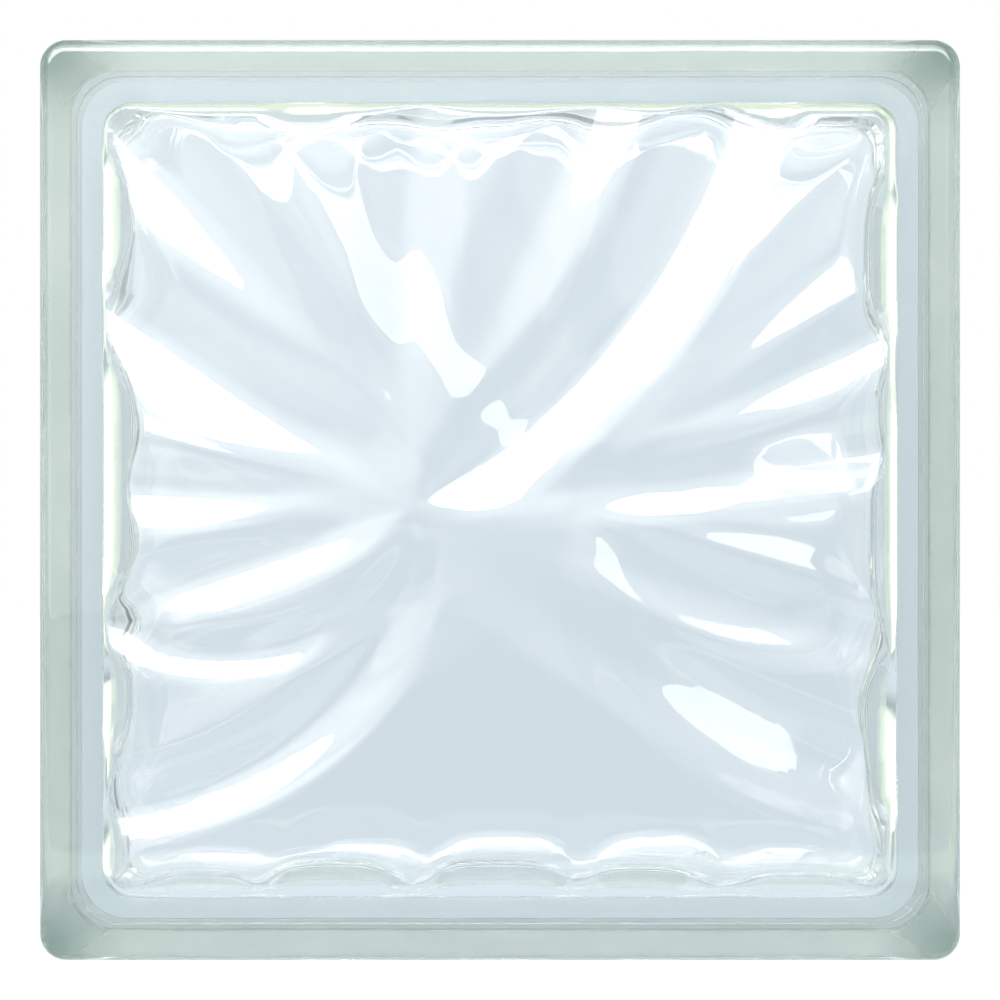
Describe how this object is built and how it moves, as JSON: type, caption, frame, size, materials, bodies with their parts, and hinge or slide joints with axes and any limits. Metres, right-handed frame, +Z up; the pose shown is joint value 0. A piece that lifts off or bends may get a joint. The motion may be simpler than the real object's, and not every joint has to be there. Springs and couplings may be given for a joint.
{
  "type": "glass block",
  "caption": "Square hollow glass building block with smooth outer faces, curved waves on the inside that blur the view, and a mortar channel round its edge.",
  "frame": {"origin": "middle of the underside, on the surface that the block stands on", "axes": "+X to the right along the width, +Y along the depth away from the viewer, +Z up"},
  "size_m": [0.19, 0.08, 0.19],
  "materials": {
    "glass": "clear pressed glass with a faint blue-green tint, fire-polished"
  },
  "bodies": {
    "root": {"glass_block": "glass"}
  },
  "joints": []
}
